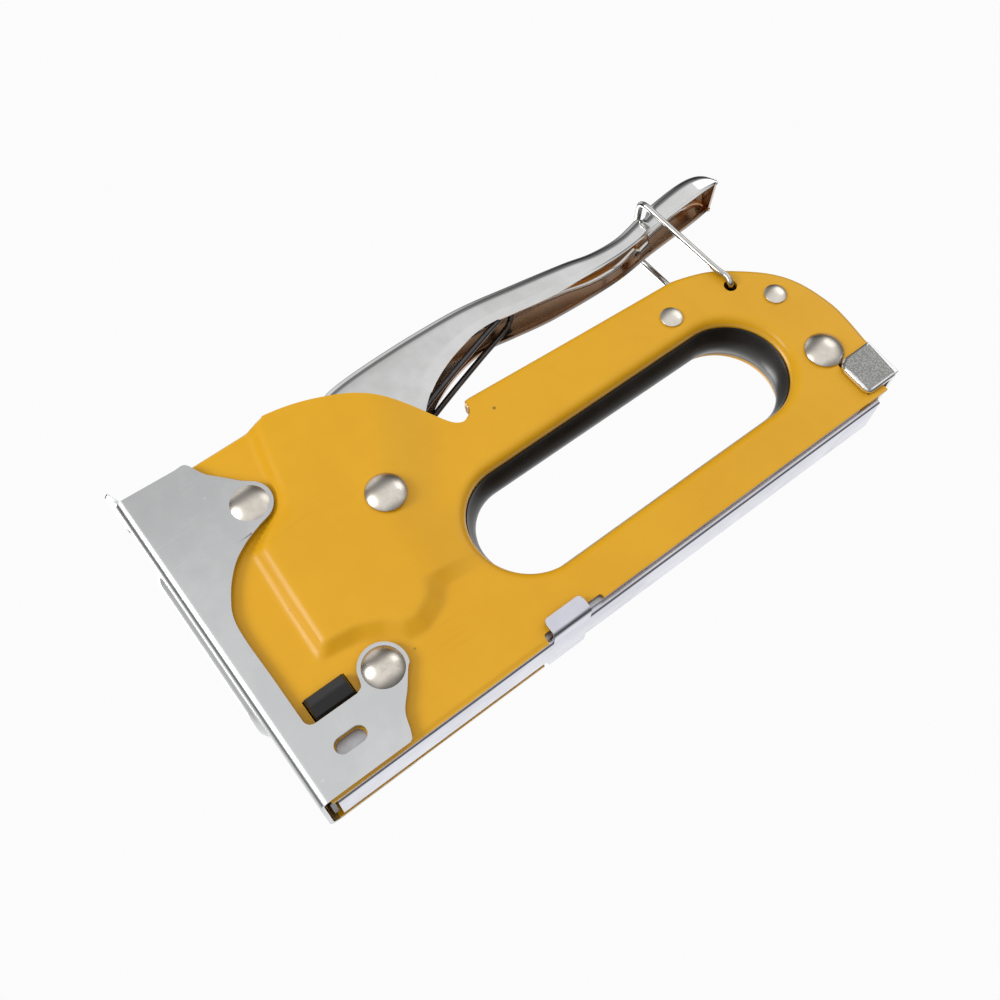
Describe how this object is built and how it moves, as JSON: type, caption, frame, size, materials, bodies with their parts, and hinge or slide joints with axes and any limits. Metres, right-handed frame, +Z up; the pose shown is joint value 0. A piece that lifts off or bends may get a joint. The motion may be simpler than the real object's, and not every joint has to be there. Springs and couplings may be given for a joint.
{
  "type": "staple gun",
  "caption": "Hand staple gun with yellow pressed-steel body, chromed nose and squeeze lever, wire lever bail and slide-out magazine.",
  "frame": {"origin": "centre of the underside: middle of the overall width and length, on the base plane", "axes": "+Z up from the base to the lever, -Y out of the nose, +X to the tool's left side; the halves mirror across x = 0"},
  "size_m": [0.0308, 0.1938, 0.0966],
  "materials": {
    "yellow_paint": "glossy stoved enamel on pressed steel",
    "chrome": "bright plating over lightly brushed steel",
    "nickel": "bright nickel plated rivet",
    "zinc": "plain zinc plated sheet",
    "bright_zinc": "bright zinc plated sheet",
    "cast_zinc": "pebbled grey casting with bright worn edges",
    "hardened_steel": "dark hardened steel",
    "spring_steel": "oiled spring wire",
    "black_plastic": "smooth black moulding",
    "black_rubber": "moulded bumper rubber"
  },
  "bodies": {
    "body": {"shell_left": "yellow_paint", "shell_right": "yellow_paint", "nose_plate": "chrome", "grip_liner": "black_plastic", "shock_pad": "black_rubber", "magazine_guide": "zinc", "blade_guide": "zinc", "spring_seat": "zinc", "main_spring": "spring_steel", "upper_nose_rivet": "nickel", "lower_nose_rivet": "nickel", "lever_pivot_rivet": "nickel", "grip_front_rivet": "nickel", "grip_rear_rivet": "nickel", "rear_rivet": "nickel", "upper_nose_bush": "zinc", "lower_nose_bush": "zinc", "grip_front_bush": "zinc", "grip_rear_bush": "zinc", "rear_bush": "zinc"},
    "lever": {"lever": "chrome", "lift_arm": "hardened_steel", "return_spring": "spring_steel"},
    "striker": {"striker_blade": "hardened_steel", "hammer": "hardened_steel"},
    "bail": {"bail": "chrome"},
    "magazine": {"magazine_channel": "bright_zinc", "staple_rail": "zinc"},
    "pusher_unit": {"rear_catch": "cast_zinc", "guide_rod": "zinc", "pusher_spring": "spring_steel"},
    "follower": {"follower": "hardened_steel"}
  },
  "joints": [
    {"name": "lever_hinge", "type": "hinge", "parent": "body", "child": "lever", "pos_m": [0, -0.0412, 0.0542], "axis": [-1, 0, 0], "range_deg": [0, 8], "stiffness_Nm_per_rad": 6, "springref_deg": -5.73},
    {"name": "bail_hinge", "type": "hinge", "parent": "body", "child": "bail", "pos_m": [0, 0.072, 0.0507], "axis": [-1, 0, 0], "range_deg": [0, 56.5]},
    {"name": "striker_slide", "type": "slide", "parent": "body", "child": "striker", "axis": [0, 0, 1], "range_m": [0, 0.0046], "deforming": ["main_spring"]},
    {"name": "magazine_slide", "type": "slide", "parent": "body", "child": "magazine", "axis": [0, 1, 0], "range_m": [0, 0.095]},
    {"name": "pusher_slide", "type": "slide", "parent": "magazine", "child": "pusher_unit", "axis": [0, 1, 0], "range_m": [0, 0.12]},
    {"name": "follower_slide", "type": "slide", "parent": "pusher_unit", "child": "follower", "axis": [0, 1, 0], "range_m": [0, 0.09], "stiffness_N_per_m": 60, "springref_m": -0.03, "deforming": ["pusher_spring"]}
  ],
  "couplings": [
    {"joint": "bail_hinge", "follows": "lever_hinge", "ratio": 7},
    {"joint": "striker_slide", "follows": "lever_hinge", "m_per_rad": 0.032}
  ]
}
